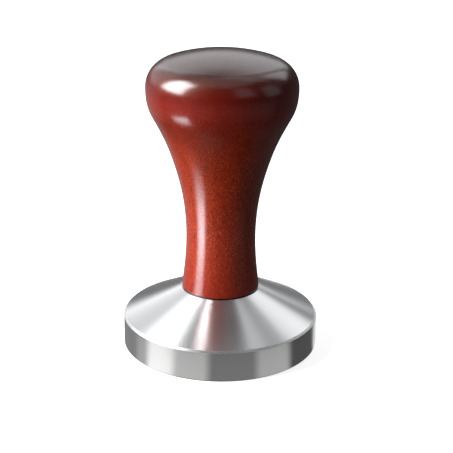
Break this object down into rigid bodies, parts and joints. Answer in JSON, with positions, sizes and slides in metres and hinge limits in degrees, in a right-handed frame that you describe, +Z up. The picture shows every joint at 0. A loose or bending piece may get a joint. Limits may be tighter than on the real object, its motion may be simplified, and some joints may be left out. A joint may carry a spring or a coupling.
{
  "type": "espresso tamper",
  "caption": "Espresso tamper with a turned steel piston, a conical shoulder and a domed hardwood handle that unscrews from it.",
  "frame": {"origin": "centre of the flat tamping face, at the bottom of the piston", "axes": "+Z up the handle along the turning axis; X and Y are equivalent, because the outside is round"},
  "size_m": [0.058, 0.058, 0.0892],
  "materials": {
    "piston_steel": "fine turned, polished rim",
    "screw_steel": "black oxide",
    "insert_brass": "as machined",
    "washer_nylon": "matte",
    "handle_wood": "red stain under clear gloss lacquer"
  },
  "bodies": {
    "base": {"base": "piston_steel", "stud": "screw_steel"},
    "washer": {"seat_washer": "washer_nylon"},
    "handle": {"handle": "handle_wood", "threaded_insert": "insert_brass"}
  },
  "joints": [
    {"name": "handle_rise", "type": "slide", "parent": "base", "child": "washer", "axis": [0, 0, 1], "range_m": [0, 0.01376]},
    {"name": "handle_unscrew", "type": "hinge", "parent": "washer", "child": "handle", "pos_m": [0, 0, 0.01775], "axis": [0, 0, 1], "range_deg": [0, 3960]}
  ],
  "couplings": [
    {"joint": "handle_rise", "follows": "handle_unscrew", "m_per_rad": 0.00019894}
  ]
}
